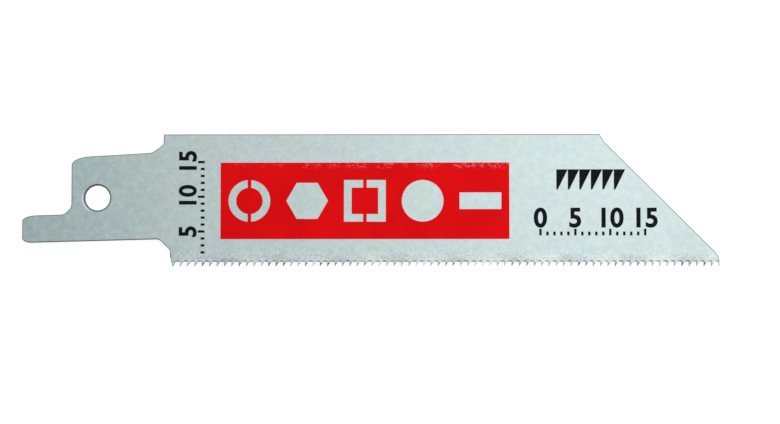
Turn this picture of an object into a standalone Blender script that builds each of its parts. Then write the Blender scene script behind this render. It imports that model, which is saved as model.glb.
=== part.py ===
"""Reciprocating saw blade for metal: one stamped strip of spring steel with a printed field.

The blade lies flat, printed side up. It is drawn by station, the distance from the end of
the tang, and by height, the distance above the tooth tips. Station runs along +X, height
along +Y, and the origin is on the ground under the middle of the blade. Sizes are metres.
"""

import math

import bmesh
import bpy
from mathutils import Matrix, Vector

# Strip
BLADE_LENGTH = 0.1
BLADE_WIDTH = 0.019
SHEET_THICKNESS = 0.0009
EDGE_BREAK = 0.00012

# Tang, the narrow tongue at the end of the shank
TANG_LENGTH = 0.00705
TANG_WIDTH = 0.0039
TANG_HEIGHT = 0.0034
TANG_LOWER_CORNER_RISE = 0.00065
TANG_LOWER_CORNER_RUN = 0.0013
TANG_UPPER_CORNER_RISE = 0.00075
TANG_UPPER_CORNER_RUN = 0.002
TANG_GUSSET = 0.00105

# Shank, which the saw's holder clamps
SHANK_LENGTH = 0.0203
SHANK_WIDTH = 0.0121
SHANK_TILT = math.radians(1.5)
SHANK_TAPER = math.radians(1.8)
SHOULDER_CORNER_RISE = 0.00105
SHOULDER_CORNER_RUN = 0.0025
PIN_HOLE_SETBACK = 0.00375
PIN_HOLE_LIFT = 0.00007
PIN_HOLE_DIAMETER = 0.0036
PIN_HOLE_RIM = 0.0002

# Necks, where the shank meets the full width
UPPER_NECK_RUN = 0.00168
UPPER_NECK_RISE = 0.0011
GUSSET_CORNER = 0.0004
LOWER_NECK_STATION = 0.02126
LOWER_NECK_RUN = 0.00166
LOWER_NECK_HEIGHT = 0.00235
LOWER_NECK_CORNER = 0.0003
TOOTH_LEAD_HEIGHT = 0.00145
TOOTH_LEAD_RUN = 0.00034

# Nose, cut back from the teeth to the back edge
NOSE_LAND = 0.00147
NOSE_CORNER = 0.0009
NOSE_ANGLE = math.radians(45)
NOSE_FACET_DROP = 0.00115
NOSE_FACET_ANGLE = math.radians(58)

# Teeth, cutting faces towards the shank, with a wavy set
TEETH_PER_INCH = 24
TOOTH_RAKE = math.radians(2)
TOOTH_BACK_ANGLE = math.radians(58)
GULLET_DEPTH = 0.0007
GULLET_RADIUS = 0.00017
TIP_LAND = 0.00004
SET_HEIGHT = 0.0002
SET_ROOT = 0.0022
TEETH_PER_WAVE = 8

# Printed field, and the stock sections left bare in it
INK_THICKNESS = 0.00002
INK_CLEARANCE = 0.000005
FIELD_NECK_MARGIN = 0.0082
FIELD_NOSE_MARGIN = 0.01295
FIELD_BACK_MARGIN = 0.0041
FIELD_TOOTH_MARGIN = 0.0039
SECTION_PITCH = 0.0081
SECTION_SIZE = 0.006
SECTION_WALL = 0.0011
SECTION_BRIDGE = 0.0005
FLAT_BAR_DEPTH = 0.0024

# Smoothness, in steps
CORNER_STEPS = 6
GULLET_STEPS = 3
ROUND_STEPS = 48
BREAK_STEPS = 2
SET_ROWS = 3

INCH = 0.0254
CUTTER_REACH = 0.001
MERGE = 0.000001

# A filled curve loses points closer than 0.03 units, so outlines are drawn in millimetres
DRAWING_SCALE = 1000

tooth_pitch = INCH / TEETH_PER_INCH
first_tip = LOWER_NECK_STATION + TOOTH_LEAD_RUN
tip_count = math.floor((BLADE_LENGTH - TIP_LAND - first_tip) / tooth_pitch) + 1
nose_facet_height = BLADE_WIDTH - NOSE_FACET_DROP
nose_facet_station = BLADE_LENGTH - (nose_facet_height - NOSE_LAND) / math.tan(NOSE_ANGLE)
nose_back_station = nose_facet_station - NOSE_FACET_DROP / math.tan(NOSE_FACET_ANGLE)
pin_hole_station = TANG_LENGTH + PIN_HOLE_SETBACK


def shank_lower(station):
    """Height of the shank's lower edge, which is the tang's too."""
    return TANG_HEIGHT + station * math.tan(SHANK_TILT)


def shank_upper(station):
    """Height of the shank's upper edge."""
    rise = (station - TANG_LENGTH) * math.tan(SHANK_TILT + SHANK_TAPER)
    return shank_lower(TANG_LENGTH) + SHANK_WIDTH + rise


def tang_upper(station):
    """Height of the tang's upper edge, parallel to its lower one."""
    return shank_lower(station) + TANG_WIDTH / math.cos(SHANK_TILT)


def arc(centre, radius, start, end, steps):
    """Points along a circular arc, both ends included."""
    turns = [start + (end - start) * step / steps for step in range(steps + 1)]
    return [centre + radius * Vector((math.cos(turn), math.sin(turn))) for turn in turns]


def gullet():
    """The gullet behind a tip at the origin: off the tooth's back, along its crown, to the next face."""
    height = GULLET_DEPTH - GULLET_RADIUS
    back_reach = GULLET_RADIUS + height * math.cos(TOOTH_BACK_ANGLE)
    face_reach = GULLET_RADIUS - height * math.sin(TOOTH_RAKE)
    near_back = Vector((back_reach / math.sin(TOOTH_BACK_ANGLE), height))
    near_face = Vector((tooth_pitch - face_reach / math.cos(TOOTH_RAKE), height))
    upward = math.pi / 2
    off_back = arc(near_back, GULLET_RADIUS, upward + TOOTH_BACK_ANGLE, upward, GULLET_STEPS - 1)
    onto_face = arc(near_face, GULLET_RADIUS, upward, -TOOTH_RAKE, GULLET_STEPS)
    return [*off_back, *onto_face]


def tip_stations():
    """Station of each tooth tip, from the neck to the nose."""
    return [first_tip + index * tooth_pitch for index in range(tip_count)]


def tooth_row():
    """Outline of the toothed edge from the first tip to the foot of the nose."""
    *tips, last_tip = [Vector((station, 0)) for station in tip_stations()]
    points = []
    for tip in tips:
        points += [tip, *(tip + point for point in gullet())]
    last_reach = BLADE_LENGTH - last_tip.x
    last_back = [last_tip + point for point in gullet()[:GULLET_STEPS] if point.x < last_reach]
    last_rise = min(last_reach * math.tan(TOOTH_BACK_ANGLE), GULLET_DEPTH)
    return [*points, last_tip, *last_back, Vector((BLADE_LENGTH, last_rise))]


def rounded(corners):
    """Closed outline with each corner cut back along its two edges and joined by an elliptic arc.

    Each corner is (station, height, cut along the edge before, cut along the edge after). Two
    cuts that would meet on a short edge share it in proportion, and points that fall together
    count once.
    """
    places = [Vector(corner[:2]) for corner in corners]
    outline = []
    for index, (place, corner) in enumerate(zip(places, corners)):
        cut_before, cut_after = corner[2:]
        if not cut_before:
            outline.append(place)
            continue
        following = (index + 1) % len(corners)
        back, forth = places[index - 1] - place, places[following] - place
        cut_before *= min(1, back.length / (cut_before + corners[index - 1][3]))
        cut_after *= min(1, forth.length / (cut_after + corners[following][2]))
        back = back.normalized() * cut_before
        forth = forth.normalized() * cut_after
        for step in range(CORNER_STEPS + 1):
            turn = math.pi / 2 * step / CORNER_STEPS
            outline.append(place + back * (1 - math.sin(turn)) + forth * (1 - math.cos(turn)))
    return [point for index, point in enumerate(outline) if (point - outline[index - 1]).length > MERGE]


def blade_outline():
    """The stamped outline, anticlockwise from the tang's lower corner."""
    lower_neck = LOWER_NECK_STATION - LOWER_NECK_RUN
    upper_neck = SHANK_LENGTH - UPPER_NECK_RUN
    tang_neck = TANG_LENGTH - TANG_GUSSET
    tooth_corners = [(point.x, point.y, 0, 0) for point in tooth_row()]
    return rounded([
        (0, shank_lower(0), TANG_LOWER_CORNER_RISE, TANG_LOWER_CORNER_RUN),
        (lower_neck, shank_lower(lower_neck), LOWER_NECK_CORNER, LOWER_NECK_CORNER),
        (LOWER_NECK_STATION, LOWER_NECK_HEIGHT, LOWER_NECK_CORNER, LOWER_NECK_CORNER),
        (LOWER_NECK_STATION, TOOTH_LEAD_HEIGHT, 0, 0),
        *tooth_corners,
        (BLADE_LENGTH, NOSE_LAND, NOSE_CORNER, NOSE_CORNER),
        (nose_facet_station, nose_facet_height, 0, 0),
        (nose_back_station, BLADE_WIDTH, 0, 0),
        (SHANK_LENGTH, BLADE_WIDTH, 0, 0),
        (SHANK_LENGTH, shank_upper(SHANK_LENGTH) + UPPER_NECK_RISE, GUSSET_CORNER, GUSSET_CORNER),
        (upper_neck, shank_upper(upper_neck), GUSSET_CORNER, GUSSET_CORNER),
        (TANG_LENGTH, shank_upper(TANG_LENGTH), SHOULDER_CORNER_RUN, SHOULDER_CORNER_RISE),
        (TANG_LENGTH, tang_upper(TANG_LENGTH) + TANG_GUSSET, GUSSET_CORNER, GUSSET_CORNER),
        (tang_neck, tang_upper(tang_neck), GUSSET_CORNER, GUSSET_CORNER),
        (0, tang_upper(0), TANG_UPPER_CORNER_RUN, TANG_UPPER_CORNER_RISE),
    ])


def extruded(name, loops, thickness):
    """Mesh of a flat plate with this outline and these holes, half each side of z = 0."""
    drawing = bpy.data.curves.new(name + "_drawing", "CURVE")
    drawing.dimensions = "2D"
    drawing.fill_mode = "BOTH"
    drawing.extrude = thickness * DRAWING_SCALE / 2
    for loop in loops:
        spline = drawing.splines.new("POLY")
        spline.points.add(len(loop) - 1)
        for point, place in zip(spline.points, loop):
            point.co = (place.x * DRAWING_SCALE, place.y * DRAWING_SCALE, 0, 1)
        spline.use_cyclic_u = True
    sketch = bpy.data.objects.new(drawing.name, drawing)
    bpy.context.scene.collection.objects.link(sketch)
    graph = bpy.context.evaluated_depsgraph_get()
    mesh = bpy.data.meshes.new_from_object(sketch.evaluated_get(graph))
    bpy.data.objects.remove(sketch)
    bpy.data.curves.remove(drawing)
    mesh.name = name
    mesh.transform(Matrix.Scale(1 / DRAWING_SCALE, 4))
    return mesh


def is_rim(edge):
    """Whether an edge lies between a flat side of the plate and its cut edge."""
    slopes = [abs(face.normal.z) for face in edge.link_faces]
    return len(slopes) == 2 and min(slopes) < 0.5 < max(slopes)


def is_toothed(vert):
    """Whether a point belongs to the ground teeth, which keep their sharp edges."""
    return vert.co.x > first_tip - MERGE and vert.co.y < GULLET_DEPTH + MERGE


def break_edges(form):
    """Soften both rims of the stamped outline, clear of the teeth."""
    rims = [edge for edge in form.edges if is_rim(edge)]
    soft = [edge for edge in rims if not any(is_toothed(vert) for vert in edge.verts)]
    bmesh.ops.bevel(form, geom=soft, offset=EDGE_BREAK, segments=BREAK_STEPS, profile=0.5,
                    affect="EDGES")


def strip_faces(form):
    """Faces of the strip along the teeth that takes the set."""
    top = SET_ROOT + MERGE
    return [face for face in form.faces if all(vert.co.y < top for vert in face.verts)]


def split(form, faces, place, normal):
    """Cut faces along a plane, leaving both sides."""
    edges = {edge for face in faces for edge in face.edges}
    verts = {vert for face in faces for vert in face.verts}
    bmesh.ops.bisect_plane(form, geom=[*faces, *edges, *verts], dist=MERGE / 10,
                           plane_co=place, plane_no=normal)


def set_teeth(form):
    """Bend the toothed strip to alternate sides in a smooth wave, deepest at the tips."""
    for row in range(SET_ROWS):
        share = (row + 1) / SET_ROWS
        height = GULLET_DEPTH + (SET_ROOT - GULLET_DEPTH) * share
        split(form, form.faces[:], (0, height, 0), (0, 1, 0))
    back_middle = gullet()[0].x / 2
    for station in tip_stations():
        split(form, strip_faces(form), (station + back_middle, 0, 0), (1, 0, 0))
    bmesh.ops.triangulate(form, faces=strip_faces(form))
    for vert in form.verts:
        bend = max(0, 1 - vert.co.y / SET_ROOT) ** 2
        wave = math.sin(math.tau * (vert.co.x - first_tip) / (TEETH_PER_WAVE * tooth_pitch))
        vert.co.z += SET_HEIGHT * bend * wave


def blade_mesh():
    """The stamped, edge-broken and toothed strip, before its hole is pierced."""
    mesh = extruded("blade", [blade_outline()], SHEET_THICKNESS)
    form = bmesh.new()
    form.from_mesh(mesh)
    bmesh.ops.remove_doubles(form, verts=form.verts, dist=MERGE)
    bmesh.ops.dissolve_limit(form, angle_limit=math.radians(0.5), verts=form.verts,
                             edges=form.edges)
    bmesh.ops.recalc_face_normals(form, faces=form.faces)
    break_edges(form)
    neck_middle = (SHANK_LENGTH + LOWER_NECK_STATION) / 2
    split(form, form.faces[:], (neck_middle, 0, 0), (1, 0, 0))
    set_teeth(form)
    form.to_mesh(mesh)
    form.free()
    return mesh


def pin_hole_cutter():
    """Turned cutter for the holder pin's hole, flared where it leaves each side."""
    radius = PIN_HOLE_DIAMETER / 2
    rim_height = SHEET_THICKNESS / 2 - PIN_HOLE_RIM
    end_height = SHEET_THICKNESS / 2 + CUTTER_REACH
    end_radius = radius + PIN_HOLE_RIM + CUTTER_REACH
    profile = [(0, end_height), (end_radius, end_height), (radius, rim_height),
               (radius, -rim_height), (end_radius, -end_height), (0, -end_height)]
    mesh = bpy.data.meshes.new("pin_hole_cutter")
    mesh.from_pydata([(reach, 0, height) for reach, height in profile],
                     [(index, index + 1) for index in range(len(profile) - 1)], [])
    cutter = bpy.data.objects.new(mesh.name, mesh)
    turn = cutter.modifiers.new("turn", "SCREW")
    turn.steps = turn.render_steps = ROUND_STEPS
    turn.use_merge_vertices = True
    turn.merge_threshold = MERGE
    cutter.hide_render = True
    cutter.display_type = "WIRE"
    return cutter


def polygon(centre, radius, sides):
    """A regular polygon, or a disc where it has many sides."""
    return arc(centre, radius, 0, math.tau, sides)[:-1]


def rectangle(low, high):
    """A rectangle between two opposite corners."""
    return [Vector((low.x, low.y)), Vector((high.x, low.y)),
            Vector((high.x, high.y)), Vector((low.x, high.y))]


def mirrored(loop, centre):
    """A loop's reflection left to right through a centre, in the same sense round."""
    return [Vector((2 * centre.x - point.x, point.y)) for point in reversed(loop)]


def pipe_section(centre):
    """A round tube seen end on, held together by two bridges."""
    outer = SECTION_SIZE / 2
    inner = outer - SECTION_WALL
    outer_turn = math.acos(SECTION_BRIDGE / 2 / outer)
    inner_turn = math.acos(SECTION_BRIDGE / 2 / inner)
    half = arc(centre, outer, -outer_turn, outer_turn, ROUND_STEPS // 2)
    half += arc(centre, inner, inner_turn, -inner_turn, ROUND_STEPS // 2)
    return [half, mirrored(half, centre)]


def box_section(centre):
    """A square tube seen end on, held together by two bridges."""
    outer = SECTION_SIZE / 2
    inner = outer - SECTION_WALL
    gap = SECTION_BRIDGE / 2
    turns = [(gap, -outer), (outer, -outer), (outer, outer), (gap, outer),
             (gap, inner), (inner, inner), (inner, -inner), (gap, -inner)]
    half = [centre + Vector(turn) for turn in turns]
    return [half, mirrored(half, centre)]


def hexagon_section(centre):
    """A hexagon bar seen end on."""
    return [polygon(centre, SECTION_SIZE / 2, 6)]


def round_section(centre):
    """A round bar seen end on."""
    return [polygon(centre, SECTION_SIZE / 2, ROUND_STEPS)]


def flat_section(centre):
    """A flat bar seen end on."""
    half = Vector((SECTION_SIZE / 2, FLAT_BAR_DEPTH / 2))
    return [rectangle(centre - half, centre + half)]


def field_mesh():
    """The printed field, a film of ink with a row of stock sections left bare in it."""
    low = Vector((SHANK_LENGTH + FIELD_NECK_MARGIN, FIELD_TOOTH_MARGIN))
    high = Vector((nose_back_station - FIELD_NOSE_MARGIN, BLADE_WIDTH - FIELD_BACK_MARGIN))
    sections = [pipe_section, hexagon_section, box_section, round_section, flat_section]
    count = max(1, math.floor((high.x - low.x) / SECTION_PITCH))
    loops = [rectangle(low, high)]
    for index in range(count):
        share = (index + 0.5) / count
        centre = Vector((low.x + (high.x - low.x) * share, (low.y + high.y) / 2))
        loops += sections[index % len(sections)](centre)
    mesh = extruded("printed_field", loops, INK_THICKNESS)
    form = bmesh.new()
    form.from_mesh(mesh)
    bmesh.ops.remove_doubles(form, verts=form.verts, dist=MERGE)
    bmesh.ops.recalc_face_normals(form, faces=form.faces)
    form.to_mesh(mesh)
    form.free()
    return mesh


def finish(name, colour, metallic, roughness):
    """A plain surface finish."""
    material = bpy.data.materials.new(name)
    material.use_nodes = True
    shader = material.node_tree.nodes["Principled BSDF"]
    shader.inputs["Base Color"].default_value = (*colour, 1)
    shader.inputs["Metallic"].default_value = metallic
    shader.inputs["Roughness"].default_value = roughness
    return material


def clear_scene():
    """Remove every object the file opened with."""
    for thing in list(bpy.data.objects):
        bpy.data.objects.remove(thing)


def main():
    clear_scene()
    parts = bpy.data.collections.new("reciprocating_saw_blade")
    cutters = bpy.data.collections.new("cutters")
    bpy.context.scene.collection.children.link(parts)
    bpy.context.scene.collection.children.link(cutters)

    drawing_origin = bpy.data.objects.new("drawing_origin", None)
    drawing_origin.location = (-BLADE_LENGTH / 2, -BLADE_WIDTH / 2, SET_HEIGHT)
    parts.objects.link(drawing_origin)

    blade = bpy.data.objects.new("blade", blade_mesh())
    blade.parent = drawing_origin
    blade.location.z = SHEET_THICKNESS / 2
    blade.data.materials.append(finish("satin_steel", (0.55, 0.65, 0.64), 0.6, 0.45))
    parts.objects.link(blade)

    cutter = pin_hole_cutter()
    cutter.parent = blade
    shank_middle = (shank_lower(pin_hole_station) + shank_upper(pin_hole_station)) / 2
    cutter.location.x = pin_hole_station
    cutter.location.y = shank_middle + PIN_HOLE_LIFT
    cutters.objects.link(cutter)
    pin_hole = blade.modifiers.new("pin_hole", "BOOLEAN")
    pin_hole.operation = "DIFFERENCE"
    pin_hole.object = cutter

    field = bpy.data.objects.new("printed_field", field_mesh())
    field.parent = drawing_origin
    field.location.z = SHEET_THICKNESS + INK_CLEARANCE + INK_THICKNESS / 2
    field.data.materials.append(finish("red_ink", (0.64, 0.003, 0.006), 0, 0.35))
    parts.objects.link(field)


main()
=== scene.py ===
import math

import bmesh
import bpy
from mathutils import Matrix, Vector


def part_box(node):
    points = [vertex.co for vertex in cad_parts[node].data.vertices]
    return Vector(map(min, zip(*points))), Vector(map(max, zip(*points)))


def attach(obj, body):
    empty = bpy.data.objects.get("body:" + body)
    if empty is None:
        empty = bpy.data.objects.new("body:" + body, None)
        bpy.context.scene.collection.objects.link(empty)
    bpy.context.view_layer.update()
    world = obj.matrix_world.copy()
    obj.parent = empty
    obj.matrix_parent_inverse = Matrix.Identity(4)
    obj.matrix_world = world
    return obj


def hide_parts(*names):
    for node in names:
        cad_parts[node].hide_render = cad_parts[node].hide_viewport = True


# Looks for a reciprocating saw blade: satin steel, a red printed field and plain black marks.
# Metres throughout. +X runs from the tang to the nose, +Y from the tooth tips to the back edge.

mm = 0.001
noiseSpan = (0.3, 0.7)  # nearly all of a noise's values lie between these
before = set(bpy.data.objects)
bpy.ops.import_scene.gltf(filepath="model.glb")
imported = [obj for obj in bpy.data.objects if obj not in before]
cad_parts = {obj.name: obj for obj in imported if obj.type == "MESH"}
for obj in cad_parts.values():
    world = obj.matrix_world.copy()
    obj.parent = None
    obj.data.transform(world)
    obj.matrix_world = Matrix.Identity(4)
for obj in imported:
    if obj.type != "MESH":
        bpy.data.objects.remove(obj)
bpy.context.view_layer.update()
bladeLow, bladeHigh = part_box("blade")
fieldLow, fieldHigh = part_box("printed_field")
print("frame loaded:", ", ".join(sorted(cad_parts)))


def station(distance):
    return bladeLow.x + distance  # from the end of the tang


def height(distance):
    return bladeLow.y + distance  # above the tooth tips


def addNode(tree, kind, inputs=None, **settings):
    made = tree.nodes.new(kind)
    for name, value in settings.items():
        setattr(made, name, value)
    for name, value in (inputs or {}).items():
        if isinstance(value, bpy.types.NodeSocket):
            tree.links.new(value, made.inputs[name])
        else:
            made.inputs[name].default_value = value
    return made


def newFinish(name):
    finish = bpy.data.materials.new(name)
    finish.use_nodes = True
    shader = finish.node_tree.nodes["Principled BSDF"]
    return finish, finish.node_tree, shader


def stretched(tree, coordinates, scale):
    return addNode(tree, "ShaderNodeMapping", {"Vector": coordinates, "Scale": scale}).outputs["Vector"]


def noise(tree, coordinates, scale, detail=2.0, roughness=0.5):
    made = addNode(tree, "ShaderNodeTexNoise", {
        "Vector": coordinates, "Scale": scale, "Detail": detail, "Roughness": roughness})
    return made.outputs["Fac"]


def ranged(tree, value, fromLow, fromHigh, toLow=0.0, toHigh=1.0, curve="LINEAR"):
    made = addNode(tree, "ShaderNodeMapRange", {
        "Value": value, "From Min": fromLow, "From Max": fromHigh, "To Min": toLow, "To Max": toHigh},
        interpolation_type=curve)
    return made.outputs["Result"]


def reckoned(tree, operation, first, second=0.0, third=0.0):
    made = addNode(tree, "ShaderNodeMath", {0: first, 1: second, 2: third}, operation=operation)
    return made.outputs["Value"]


def chance(tree, value):
    # One number from 0 to 1 for each value, the same at every run
    return addNode(tree, "ShaderNodeTexWhiteNoise", {"W": value}, noise_dimensions="1D").outputs["Value"]


def mixed(tree, share, first, second, blend="MIX"):
    made = addNode(tree, "ShaderNodeMix", data_type="RGBA", blend_type=blend)
    for index, value in ((0, share), (6, first), (7, second)):
        if isinstance(value, bpy.types.NodeSocket):
            tree.links.new(value, made.inputs[index])
        elif isinstance(value, tuple):
            made.inputs[index].default_value = (*value, 1)
        else:
            made.inputs[index].default_value = value
    return made.outputs[2]


# Satin steel

satinSteel = {
    # The shank's tint is darker than the nose's as painted shade, light falling off towards the tang's
    # end
    "paintedShadeShankTint": (0.448, 0.570, 0.568),
    "noseTint": (0.570, 0.673, 0.668),
    "paintedShadeReach": 28 * mm,              # how far from the tang's end the tint, darkened there as painted shade, still changes
    "blueCast": (0.985, 0.99, 1.03),
    "greenCast": (1.0, 1.01, 0.97),
    "cloudSize": 2.4 * mm,
    "cloudContrast": (0.35, 0.65),
    "mottleSize": 0.8 * mm,
    "mottleShares": (0.42, 0.26),      # strength of the mottle at the tang's end and past the shank
    "grainSize": 0.3 * mm,
    "grainShare": 0.45,
    "toothGrainShare": 1.35,
    "toothBandHeight": 3.0 * mm,
    "toothPitch": 25.4 / 24 * mm,
    "gulletPlace": (22.44 * mm, 0.71 * mm),  # station and height of the first gullet's crown
    "crownShadeSize": (0.36 * mm, 0.16 * mm),
    "crownShadeRaggedness": 0.9,
    "crownShadeFade": (1.0, 0.45),           # where the painted shade over a crown begins and where it is full, in its own size
    "crownShadeRange": (0.12, 0.55),        # darkest and palest painted shade over a gullet's crown, standing in for its wall in shade
    "tipFade": (0.62 * mm, 0.46 * mm),  # height where a tip's painted shade begins and where it is full
    "tipPaintedShades": (0.20, 1.15),         # darkest and palest painted shade or highlight of a tooth tip, each bent to the light its own way
    "grainDepth": 0.004 * mm,
    "grainStrength": 0.6,
    "rollingLineSize": 0.12 * mm,
    "rollingLineStretch": (0.03, 1, 1),
    "rollingLineShades": (0.985, 1.015),
    "metallic": 0.5,
    "roughness": 0.5,
    "roughnessSwing": 0.06,
    "rimUprightness": (0.965, 0.925),  # how upright a facet stands where the rim begins and is full
    "rimPaintedShade": 0.40,                  # how dark the painted shade makes the softened rims beside the flat sides
    "cutUprightness": (0.85, 0.5),     # the same for the stamped edge
    # The stamped edge's bands are its own, while their near-black tints are painted shade
    "tornShadedTint": (0.030, 0.034, 0.034),
    "tornShare": 0.6,                  # how much of the burnished band the streaks take at most
    "streakSize": 0.09 * mm,
    "streakStretch": (1, 1, 0.08),
    "burnishShadedTint": (0.06, 0.066, 0.066),
    "burnishHeight": 0.72 * mm,
    "burnishBlur": 0.04 * mm,
    "pinHole": (10.80 * mm, 9.86 * mm),  # station and height of its middle
    "pinHoleRadius": 1.8 * mm,
    "paleCrescentReach": 0.36 * mm,         # how far from the hole's wall the crescent is palest
    "paleCrescentWidth": 0.22 * mm,
    "paleCrescentSide": (-0.966, -0.259),   # which side of the hole the crescent lies on, towards the tang
    "paleCrescentSpread": (0.6, 0.97),      # how nearly a place faces that side where the crescent begins, is full
    "paleCrescentGain": 0.45,
}


def makeSatinSteel(look):
    finish, tree, shader = newFinish("satinSteel")
    place = addNode(tree, "ShaderNodeTexCoord").outputs["Object"]
    axes = addNode(tree, "ShaderNodeSeparateXYZ", {"Vector": place}).outputs
    facing = addNode(tree, "ShaderNodeNewGeometry").outputs["True Normal"]
    upright = addNode(tree, "ShaderNodeSeparateXYZ", {"Vector": facing}).outputs["Z"]
    flatness = reckoned(tree, "ABSOLUTE", upright)

    # A blue-green face, darker towards the tang's end as painted shade, with clouds of either cast,
    # mottle, grain and faint rolling lines
    along = ranged(tree, axes["X"], station(0), station(look["paintedShadeReach"]), curve="SMOOTHSTEP")
    face = mixed(tree, along, look["paintedShadeShankTint"], look["noseTint"])
    clouds = ranged(tree, noise(tree, place, 1 / look["cloudSize"], 3, 0.6), *look["cloudContrast"])
    cast = mixed(tree, clouds, look["blueCast"], look["greenCast"])
    face = mixed(tree, 1.0, face, cast, "MULTIPLY")
    mottle = noise(tree, place, 1 / look["mottleSize"], 2, 0.5)
    mottleShade = reckoned(tree, "MULTIPLY_ADD", reckoned(tree, "SUBTRACT", mottle, 0.5),
                           ranged(tree, along, 0, 1, *look["mottleShares"]), 1.0)
    grain = noise(tree, place, 1 / look["grainSize"], 3, 0.7)
    toothBand = ranged(tree, axes["Y"], height(look["toothBandHeight"]),
                       height(look["toothBandHeight"] / 2))
    grainShare = ranged(tree, toothBand, 0, 1, look["grainShare"], look["toothGrainShare"])
    grainShade = reckoned(tree, "MULTIPLY_ADD", reckoned(tree, "SUBTRACT", grain, 0.5), grainShare, 1.0)
    lines = noise(tree, stretched(tree, place, look["rollingLineStretch"]),
                  1 / look["rollingLineSize"], 2, 0.6)
    lineShade = ranged(tree, lines, *noiseSpan, *look["rollingLineShades"])

    # A paler crescent beside the hole, on the tang's side
    fromHoleX = reckoned(tree, "SUBTRACT", axes["X"], station(look["pinHole"][0]))
    fromHoleY = reckoned(tree, "SUBTRACT", axes["Y"], height(look["pinHole"][1]))
    fromHole = reckoned(tree, "SQRT", reckoned(tree, "ADD", reckoned(tree, "POWER", fromHoleX, 2.0),
                                               reckoned(tree, "POWER", fromHoleY, 2.0)))
    fromCrescent = reckoned(tree, "ABSOLUTE", reckoned(
        tree, "SUBTRACT", fromHole, look["pinHoleRadius"] + look["paleCrescentReach"]))
    crescent = ranged(tree, fromCrescent, look["paleCrescentWidth"], look["paleCrescentWidth"] / 4,
                      curve="SMOOTHSTEP")
    sideX, sideY = look["paleCrescentSide"]
    crescentSide = reckoned(tree, "MULTIPLY_ADD", fromHoleX, sideX,
                          reckoned(tree, "MULTIPLY", fromHoleY, sideY))
    crescentSide = ranged(tree, reckoned(tree, "DIVIDE", crescentSide, fromHole), *look["paleCrescentSpread"])
    paleCrescent = reckoned(tree, "MULTIPLY", crescent, crescentSide)
    paleCrescentShade = reckoned(tree, "MULTIPLY_ADD", paleCrescent, look["paleCrescentGain"], 1.0)

    # Painted shade over each gullet's crown stands in for its wall in shade, and each tip gets its own
    # painted shade or highlight, as the set turns it to the light its own way
    fromFirst = reckoned(tree, "SUBTRACT", axes["X"], station(look["gulletPlace"][0]))
    gulletsPast = reckoned(tree, "DIVIDE", fromFirst, look["toothPitch"])
    gulletChance = chance(tree, reckoned(tree, "ROUND", gulletsPast))
    toothChance = chance(tree, reckoned(tree, "ADD", reckoned(tree, "FLOOR", gulletsPast), 0.5))
    fromCrownX = reckoned(tree, "PINGPONG", fromFirst, look["toothPitch"] / 2)
    fromCrownY = reckoned(tree, "SUBTRACT", axes["Y"], height(look["gulletPlace"][1]))
    fromCrown = reckoned(tree, "SQRT", reckoned(
        tree, "ADD",
        reckoned(tree, "POWER", reckoned(tree, "DIVIDE", fromCrownX, look["crownShadeSize"][0]), 2.0),
        reckoned(tree, "POWER", reckoned(tree, "DIVIDE", fromCrownY, look["crownShadeSize"][1]), 2.0)))
    ragged = reckoned(tree, "MULTIPLY_ADD", reckoned(tree, "SUBTRACT", grain, 0.5),
                      look["crownShadeRaggedness"], fromCrown)
    # Painted shade over each crown, standing in for the gullet's wall in shade
    fullCrownShade = ranged(tree, gulletChance, 0, 1, *look["crownShadeRange"])
    paintedToothShade = ranged(tree, ragged, *look["crownShadeFade"], 1, fullCrownShade)
    tipTop, tipFull = look["tipFade"]
    # Painted shade or highlight on each tip, as the set turns it towards or away from the light
    fullTip = ranged(tree, toothChance, 0, 1, *look["tipPaintedShades"])
    paintedTipShade = ranged(tree, axes["Y"], height(tipTop), height(tipFull), 1, fullTip)
    paintedToothShade = reckoned(tree, "MULTIPLY", paintedToothShade, paintedTipShade)

    shade = reckoned(tree, "MULTIPLY", mottleShade, grainShade)
    shade = reckoned(tree, "MULTIPLY", shade, paintedToothShade)
    shade = reckoned(tree, "MULTIPLY", shade, lineShade)
    shade = reckoned(tree, "MULTIPLY", shade, paleCrescentShade)
    # Painted shade darkens the softened rims beside the flat sides
    rim = ranged(tree, flatness, *look["rimUprightness"])
    shade = reckoned(tree, "MULTIPLY", shade, ranged(tree, rim, 0, 1, 1, look["rimPaintedShade"]))
    face = mixed(tree, 1.0, face, addNode(tree, "ShaderNodeCombineColor", {
        "Red": shade, "Green": shade, "Blue": shade}).outputs["Color"], "MULTIPLY")

    # Stamped edge: burnished where the punch went in, torn and darker below, both near black as painted
    # shade
    streaks = noise(tree, stretched(tree, place, look["streakStretch"]), 1 / look["streakSize"], 2, 0.6)
    burnished = ranged(tree, axes["Z"], look["burnishHeight"] - look["burnishBlur"],
                       look["burnishHeight"] + look["burnishBlur"])
    edge = mixed(tree, burnished, look["tornShadedTint"], look["burnishShadedTint"])
    edge = mixed(tree, ranged(tree, streaks, *noiseSpan, 0, look["tornShare"]), edge, look["tornShadedTint"])
    cutEdge = ranged(tree, flatness, *look["cutUprightness"])
    tree.links.new(mixed(tree, cutEdge, face, edge), shader.inputs["Base Color"])

    rough = ranged(tree, grain, *noiseSpan, look["roughness"] - look["roughnessSwing"],
                   look["roughness"] + look["roughnessSwing"])
    tree.links.new(rough, shader.inputs["Roughness"])
    shader.inputs["Metallic"].default_value = look["metallic"]
    relief = addNode(tree, "ShaderNodeBump", {
        "Height": grain, "Strength": look["grainStrength"], "Distance": look["grainDepth"]})
    tree.links.new(relief.outputs["Normal"], shader.inputs["Normal"])
    return finish


steelStrip = {
    "merge": 0.0005 * mm,              # corners that are closer than this are one
    "sharpBend": math.radians(30),
    "levelNormal": 0.999999,           # a normal's Z above which a face is on a flat side
}


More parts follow.
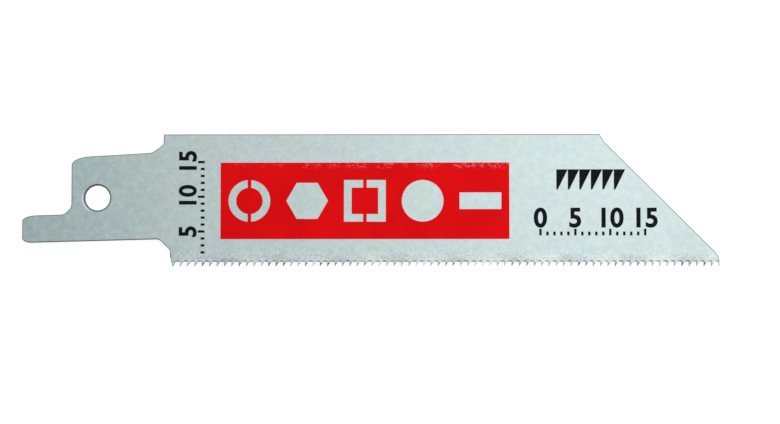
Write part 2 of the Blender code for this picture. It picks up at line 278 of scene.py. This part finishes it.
def cornerNormal(face, corner):
    # Smooth across bends that aren't sharp, though a flat side stays flat to its last corner
    near = [other for other in corner.link_faces
            if other.normal.dot(face.normal) > math.cos(steelStrip["sharpBend"])]
    for other in near:
        if abs(other.normal.z) > steelStrip["levelNormal"]:
            return other.normal.copy()
    return sum((other.normal * other.calc_area() for other in near), Vector()).normalized()


def makeStrip(node, finish):
    # The CAD steel with its loose faces merged, so that its bends look smooth
    form = bmesh.new()
    form.from_mesh(node.data)
    bmesh.ops.remove_doubles(form, verts=form.verts, dist=steelStrip["merge"])
    form.normal_update()
    normals = [cornerNormal(face, loop.vert) for face in form.faces for loop in face.loops]
    mesh = bpy.data.meshes.new("steel_strip")
    form.to_mesh(mesh)
    form.free()
    mesh.shade_smooth()
    mesh.normals_split_custom_set(normals)
    mesh.materials.append(finish)
    strip = bpy.data.objects.new("steel_strip", mesh)
    bpy.context.scene.collection.objects.link(strip)
    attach(strip, "root")
    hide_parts("blade")


makeStrip(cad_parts["blade"], makeSatinSteel(satinSteel))
print("steel finished")


# Inks

redInk = {
    "tint": (0.885, 0.0035, 0.0056),
    "deepTint": (0.79, 0.0026, 0.0042),
    "cloudSize": 5 * mm,
    "grainSize": 0.16 * mm,
    "roughness": 0.6,
    "gloss": 0.04,
    "rubbedTint": (0.95, 0.125, 0.17),
    "rubbedReach": 0.95 * mm,          # how far below the field's upper edge it is rubbed
    "rubbedRun": 0.5,                  # share of the field's length over which the specks set in
    "speckSize": 0.32 * mm,
    "speckContrast": (0.50, 0.62),
    "patchSize": 2.2 * mm,
    "patchContrast": (0.36, 0.54),
}

blackInk = {
    "tint": (0.009, 0.012, 0.012),
    "deepTint": (0.005, 0.007, 0.007),
    "cloudSize": 2 * mm,
    "grainSize": 0.14 * mm,
    "roughness": 0.6,
    "gloss": 0.04,
}

# What both inks share as films
inkFilm = {
    "cloudContrast": (0.35, 0.65),
    "thinContrast": (0.55, 0.75),      # grain where a film starts to thin and where it is thinnest
    "thinShare": 0.35,
    "roughnessSwing": 0.08,
    "grainStrength": 0.4,
    "grainDepth": 0.003 * mm,
}


def rubbed(tree, place, tint, look):
    # Pale specks along the upper edge, more towards the nose, where the ink is rubbed thin
    axes = addNode(tree, "ShaderNodeSeparateXYZ", {"Vector": place}).outputs
    nearTop = ranged(tree, axes["Y"], fieldHigh.y - look["rubbedReach"],
                     fieldHigh.y - look["rubbedReach"] / 2)
    run = look["rubbedRun"] * (fieldHigh.x - fieldLow.x)
    noseSide = ranged(tree, axes["X"], fieldLow.x, fieldLow.x + run)
    specks = ranged(tree, noise(tree, place, 1 / look["speckSize"], 2, 0.6), *look["speckContrast"])
    patches = ranged(tree, noise(tree, place, 1 / look["patchSize"], 1, 0.5), *look["patchContrast"])
    share = reckoned(tree, "MULTIPLY", reckoned(tree, "MULTIPLY", nearTop, noseSide),
                     reckoned(tree, "MULTIPLY", specks, patches))
    return mixed(tree, share, tint, look["rubbedTint"])


def makeInk(name, look):
    finish, tree, shader = newFinish(name)
    place = addNode(tree, "ShaderNodeTexCoord").outputs["Object"]
    clouds = ranged(tree, noise(tree, place, 1 / look["cloudSize"], 3, 0.6), *inkFilm["cloudContrast"])
    grain = noise(tree, place, 1 / look["grainSize"], 3, 0.7)
    thinSpots = ranged(tree, grain, *inkFilm["thinContrast"], 0, inkFilm["thinShare"])
    tint = mixed(tree, clouds, look["tint"], look["deepTint"])
    tint = mixed(tree, thinSpots, tint, look["deepTint"])
    if "rubbedReach" in look:
        tint = rubbed(tree, place, tint, look)
    tree.links.new(tint, shader.inputs["Base Color"])
    rough = ranged(tree, grain, *noiseSpan, look["roughness"] - inkFilm["roughnessSwing"],
                   look["roughness"] + inkFilm["roughnessSwing"])
    tree.links.new(rough, shader.inputs["Roughness"])
    shader.inputs["Specular IOR Level"].default_value = look["gloss"]
    relief = addNode(tree, "ShaderNodeBump", {
        "Height": grain, "Strength": inkFilm["grainStrength"], "Distance": inkFilm["grainDepth"]})
    tree.links.new(relief.outputs["Normal"], shader.inputs["Normal"])
    return finish


redFinish = makeInk("redInk", redInk)
blackFinish = makeInk("blackInk", blackInk)

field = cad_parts["printed_field"]
field.data.materials.clear()
field.data.materials.append(redFinish)
print("printed field finished")


# Black marks, films of ink as thick as the red one and level with it

inkThickness = fieldHigh.z - fieldLow.z
inkBase = fieldLow.z


def newTree(name, inputs):
    tree = bpy.data.node_groups.new(name, "GeometryNodeTree")
    tree.interface.new_socket("Geometry", in_out="OUTPUT", socket_type="NodeSocketGeometry")
    for label, kind in inputs:
        tree.interface.new_socket(label, in_out="INPUT", socket_type="NodeSocket" + kind)
    return tree, addNode(tree, "NodeGroupInput").outputs


def closeTree(tree, geometry, ink):
    real = addNode(tree, "GeometryNodeRealizeInstances", {"Geometry": geometry})
    inked = addNode(tree, "GeometryNodeSetMaterial", {
        "Geometry": real.outputs["Geometry"], "Material": ink})
    addNode(tree, "NodeGroupOutput", {"Geometry": inked.outputs["Geometry"]})


def threeWay(tree, x=0.0, y=0.0, z=0.0):
    return addNode(tree, "ShaderNodeCombineXYZ", {"X": x, "Y": y, "Z": z}).outputs["Vector"]


def makeTickTree():
    tree, given = newTree("tickRow", [
        ("Tick count", "Int"), ("Tick spacing", "Float"), ("Tick width", "Float"),
        ("Tick length", "Float"), ("Long tick length", "Float"), ("Long tick every", "Int"),
        ("First mark", "Int"), ("Ink thickness", "Float"), ("Ink", "Material")])
    row = addNode(tree, "GeometryNodeMeshLine", {
        "Count": given["Tick count"], "Offset": threeWay(tree, x=given["Tick spacing"])},
        mode="OFFSET")
    bar = addNode(tree, "GeometryNodeMeshCube", {
        "Size": threeWay(tree, given["Tick width"], given["Tick length"], given["Ink thickness"])})
    seated = addNode(tree, "GeometryNodeTransform", {
        "Geometry": bar.outputs["Mesh"],
        "Translation": threeWay(tree, y=reckoned(tree, "MULTIPLY", given["Tick length"], 0.5),
                                z=reckoned(tree, "MULTIPLY", given["Ink thickness"], 0.5))})
    mark = reckoned(tree, "ADD", addNode(tree, "GeometryNodeInputIndex").outputs["Index"],
                    given["First mark"])
    isShort = reckoned(tree, "MINIMUM", reckoned(tree, "MODULO", mark, given["Long tick every"]), 1.0)
    longScale = reckoned(tree, "DIVIDE", given["Long tick length"], given["Tick length"])
    stretch = ranged(tree, isShort, 0, 1, longScale, 1)
    ticks = addNode(tree, "GeometryNodeInstanceOnPoints", {
        "Points": row.outputs["Mesh"], "Instance": seated.outputs["Geometry"],
        "Scale": threeWay(tree, 1, stretch, 1)})
    closeTree(tree, ticks.outputs["Instances"], given["Ink"])
    return tree


def makeToothTree():
    tree, given = newTree("toothRow", [
        ("Tooth count", "Int"), ("Tooth pitch", "Float"), ("Tooth depth", "Float"),
        ("Tooth gap", "Float"), ("Tip land", "Float"), ("Band height", "Float"),
        ("Ink thickness", "Float"), ("Ink", "Material")])
    row = addNode(tree, "GeometryNodeMeshLine", {
        "Count": given["Tooth count"], "Offset": threeWay(tree, x=given["Tooth pitch"])},
        mode="OFFSET")
    tooth = addNode(tree, "GeometryNodeCurvePrimitiveQuadrilateral", {
        "Point 1": threeWay(tree, reckoned(tree, "SUBTRACT", given["Tooth pitch"], given["Tooth gap"]),
                            given["Band height"]),
        "Point 2": threeWay(tree, 0.0, given["Band height"]),
        "Point 3": threeWay(tree, 0.0, reckoned(tree, "MULTIPLY", given["Tooth depth"], -1.0)),
        "Point 4": threeWay(tree, given["Tip land"],
                            reckoned(tree, "MULTIPLY", given["Tooth depth"], -1.0))},
        mode="POINTS")
    flat = addNode(tree, "GeometryNodeFillCurve", {"Curve": tooth.outputs["Curve"]}, mode="NGONS")
    teeth = addNode(tree, "GeometryNodeInstanceOnPoints", {
        "Points": row.outputs["Mesh"], "Instance": flat.outputs["Mesh"]})
    closeTree(tree, teeth.outputs["Instances"], given["Ink"])
    return tree


def grown(name, tree, values):
    holder = bpy.data.objects.new(name, bpy.data.meshes.new(name))
    bpy.context.scene.collection.objects.link(holder)
    growth = holder.modifiers.new("growth", "NODES")
    growth.node_group = tree
    for item in tree.interface.items_tree:
        if item.in_out == "INPUT":
            growth[item.identifier] = values[item.name]
    graph = bpy.context.evaluated_depsgraph_get()
    mesh = bpy.data.meshes.new_from_object(holder.evaluated_get(graph))
    holder.modifiers.clear()
    holder.data = mesh
    mesh.name = name
    return holder


def printed(piece, where, turn=0.0):
    # Lay a mark on the steel, its own place worked into its mesh
    piece.data.transform(Matrix.Translation(where) @ Matrix.Rotation(turn, 4, "Z"))
    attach(piece, "root")
    return piece


tickTree = makeTickTree()

# Each scale's marks are a millimetre apart, the long ones numbered
thicknessScale = {
    "start": (74.4 * mm, 4.4 * mm),    # station and height of its zero
    "firstMark": 0,
    "lastMark": 15,
    "tickWidth": 0.34 * mm,
    "tickLength": 0.55 * mm,
    "longTickLength": 0.95 * mm,
    "every": 5,
    "digitHeight": 2.8 * mm,
    "digitGap": 0.3 * mm,
}

depthScale = {
    "start": (26.2 * mm, 0),           # its marks give the depth above the tooth tips
    "firstMark": 2,
    "lastMark": 15,
    "tickWidth": 0.34 * mm,
    "tickLength": 0.55 * mm,
    "longTickLength": 0.95 * mm,
    "every": 5,
    "digitHeight": 2.5 * mm,
    "digitGap": 0.3 * mm,
}


def makeTicks(name, look, turn):
    ticks = grown(name, tickTree, {
        "Tick count": look["lastMark"] - look["firstMark"] + 1, "Tick spacing": mm,
        "Tick width": look["tickWidth"], "Tick length": look["tickLength"],
        "Long tick length": look["longTickLength"], "Long tick every": look["every"],
        "First mark": look["firstMark"], "Ink thickness": inkThickness, "Ink": blackFinish})
    start = Vector((station(look["start"][0]), height(look["start"][1]), inkBase))
    first = Matrix.Rotation(turn, 3, "Z") @ Vector((look["firstMark"] * mm, 0, 0))
    return printed(ticks, start + first, turn)


makeTicks("thickness_ticks", thicknessScale, 0)
makeTicks("depth_ticks", depthScale, math.pi / 2)


toothSign = {
    "start": (76.7 * mm, 12.6 * mm),
    "count": 6,
    "pitch": 1.65 * mm,
    "depth": 1.6 * mm,
    "tipLand": 0.2 * mm,
    "bandHeight": 1.3 * mm,
    "gap": 0.02 * mm,                  # keeps each tooth a closed form of its own
}


def makeToothSign(look):
    sign = grown("tooth_sign", makeToothTree(), {
        "Tooth count": look["count"], "Tooth pitch": look["pitch"],
        "Tooth depth": look["depth"], "Tooth gap": look["gap"], "Tip land": look["tipLand"],
        "Band height": look["bandHeight"], "Ink thickness": inkThickness, "Ink": blackFinish})
    form = bmesh.new()
    form.from_mesh(sign.data)
    made = bmesh.ops.extrude_face_region(form, geom=form.faces[:])
    bmesh.ops.translate(form, vec=(0, 0, inkThickness),
                        verts=[part for part in made["geom"] if isinstance(part, bmesh.types.BMVert)])
    bmesh.ops.recalc_face_normals(form, faces=form.faces)
    form.to_mesh(sign.data)
    form.free()
    start = Vector((station(look["start"][0]), height(look["start"][1]), inkBase))
    return printed(sign, start)


makeToothSign(toothSign)


# Digits are drawn at size 1, then brought to their real height and to the ink's thickness
digitType = {
    "capHeight": 0.73,
    "boldness": 0.03,
    "halfThickness": 0.5,
    "curveSteps": 6,
    "merge": 0.0002 * mm,
}


def makeNumber(name, number, digitHeight, where, turn=0.0):
    words = bpy.data.curves.new(name, "FONT")
    words.body = str(number)
    words.align_x = "CENTER"
    words.fill_mode = "BOTH"
    words.offset = digitType["boldness"]
    words.extrude = digitType["halfThickness"]
    words.resolution_u = digitType["curveSteps"]
    lettering = bpy.data.objects.new(name, words)
    bpy.context.scene.collection.objects.link(lettering)
    graph = bpy.context.evaluated_depsgraph_get()
    mesh = bpy.data.meshes.new_from_object(lettering.evaluated_get(graph))
    bpy.data.objects.remove(lettering)
    bpy.data.curves.remove(words)
    size = digitHeight / digitType["capHeight"]
    mesh.transform(Matrix.Diagonal((size, size, inkThickness, 1)))
    mesh.transform(Matrix.Translation((0, 0, inkThickness / 2)))
    form = bmesh.new()
    form.from_mesh(mesh)
    bmesh.ops.remove_doubles(form, verts=form.verts, dist=digitType["merge"])
    form.to_mesh(mesh)
    form.free()
    mesh.materials.append(blackFinish)
    piece = bpy.data.objects.new(name, mesh)
    bpy.context.scene.collection.objects.link(piece)
    return printed(piece, where, turn)


def numberScale(name, look, turn):
    along = Matrix.Rotation(turn, 3, "Z")
    start = Vector((station(look["start"][0]), height(look["start"][1]), inkBase))
    for mark in range(look["firstMark"], look["lastMark"] + 1):
        if mark % look["every"] == 0:
            reach = Vector((mark * mm, look["longTickLength"] + look["digitGap"], 0))
            makeNumber(f"{name}_{mark}", mark, look["digitHeight"], start + along @ reach, turn)


numberScale("thickness_number", thicknessScale, 0)
numberScale("depth_number", depthScale, math.pi / 2)
print("black marks printed")


# Studio: a pale floor, a soft lamp over the nose and a surround that is brighter on one side

studio = {
    "frameWidth": 111.86 * mm,         # what the picture spans along the blade
    "centre": (2.83 * mm, -1.73 * mm),
    "lens": 135,
    "sensorWidth": 36,
    "nearest": 0.01,                   # what is nearer to the camera than this isn't drawn
    "lean": (0.01, -0.07),             # how far the camera stands off plumb, for each metre up
    "roll": math.radians(-0.005),
    "floorSize": 12.0,
    "floorGrey": (0.82, 0.82, 0.82, 1),  # as light that bounces onto the blade meets it
    "seenGrey": (0.3, 0.3, 0.3, 1),    # what the camera and reflections see, with the glow added
    "seenGlow": (0.86, 0.86, 0.86, 1),
    "lampPlace": (0.046, 0.02, 0.12),
    "lampAim": (0.01, 0, 0),
    "lampSize": 0.09,
    "lampPower": 0.042,
    "zenith": (0.715, 0.715, 0.715),
    "horizon": (0.394, 0.394, 0.394),
    "skyRise": (0.1, 0.9),             # upward share of a direction where the zenith's grey sets in
    "brightSide": (0.7, 0.7),          # the surround is brighter past the nose and the back edge
    "brightGain": 0.8,
}


def makeFloor(look):
    finish, tree, shader = newFinish("paleFloor")
    tree.nodes.remove(shader)
    ray = addNode(tree, "ShaderNodeLightPath").outputs
    seen = reckoned(tree, "MAXIMUM", ray["Is Camera Ray"],
                    reckoned(tree, "MAXIMUM", ray["Is Glossy Ray"], ray["Is Transmission Ray"]))
    plain = addNode(tree, "ShaderNodeBsdfDiffuse", {"Color": look["floorGrey"]})
    faint = addNode(tree, "ShaderNodeBsdfDiffuse", {"Color": look["seenGrey"]})
    glow = addNode(tree, "ShaderNodeEmission", {"Color": look["seenGlow"], "Strength": 1.0})
    white = addNode(tree, "ShaderNodeAddShader", {0: faint.outputs[0], 1: glow.outputs[0]})
    both = addNode(tree, "ShaderNodeMixShader", {0: seen, 1: plain.outputs[0], 2: white.outputs[0]})
    tree.links.new(both.outputs[0], tree.nodes["Material Output"].inputs["Surface"])
    mesh = bpy.data.meshes.new("floor")
    form = bmesh.new()
    bmesh.ops.create_grid(form, x_segments=1, y_segments=1, size=look["floorSize"] / 2)
    form.to_mesh(mesh)
    form.free()
    mesh.materials.append(finish)
    floor = bpy.data.objects.new("floor", mesh)
    bpy.context.scene.collection.objects.link(floor)


def makeSurround(look):
    world = bpy.data.worlds.new("surround")
    bpy.context.scene.world = world
    world.use_nodes = True
    tree = world.node_tree
    direction = addNode(tree, "ShaderNodeTexCoord").outputs["Generated"]
    axes = addNode(tree, "ShaderNodeSeparateXYZ", {"Vector": direction}).outputs
    colour = mixed(tree, ranged(tree, axes["Z"], *look["skyRise"]), look["horizon"], look["zenith"])
    sideX, sideY = look["brightSide"]
    side = reckoned(tree, "MULTIPLY_ADD", axes["X"], sideX, reckoned(tree, "MULTIPLY", axes["Y"], sideY))
    strength = reckoned(tree, "MULTIPLY_ADD", side, look["brightGain"], 1.0)
    tree.links.new(colour, tree.nodes["Background"].inputs["Color"])
    tree.links.new(strength, tree.nodes["Background"].inputs["Strength"])


def makeLamp(look):
    light = bpy.data.lights.new("softLamp", "AREA")
    light.shape = "DISK"
    light.size = look["lampSize"]
    light.energy = look["lampPower"]
    lamp = bpy.data.objects.new("softLamp", light)
    lamp.location = look["lampPlace"]
    aim = Vector(look["lampPlace"]) - Vector(look["lampAim"])
    lamp.rotation_mode = "QUATERNION"
    lamp.rotation_quaternion = aim.to_track_quat("Z", "Y")
    bpy.context.scene.collection.objects.link(lamp)


def makeCamera(look):
    lens = bpy.data.cameras.new("camera")
    lens.lens = look["lens"]
    lens.sensor_width = look["sensorWidth"]
    lens.clip_start = look["nearest"]
    camera = bpy.data.objects.new("camera", lens)
    bpy.context.scene.collection.objects.link(camera)
    target = Vector((*look["centre"], bladeHigh.z))
    back = Vector((*look["lean"], 1)).normalized()
    reach = look["frameWidth"] * look["lens"] / lens.sensor_width
    right = Vector((0, 1, 0)).cross(back).normalized()
    up = back.cross(right)
    turn = Matrix((right, up, back)).transposed() @ Matrix.Rotation(look["roll"], 3, "Z")
    camera.matrix_world = Matrix.Translation(target + back * reach) @ turn.to_4x4()
    bpy.context.scene.camera = camera


makeFloor(studio)
makeSurround(studio)
makeLamp(studio)
makeCamera(studio)
bpy.context.scene.view_settings.view_transform = "Standard"
print("studio set")
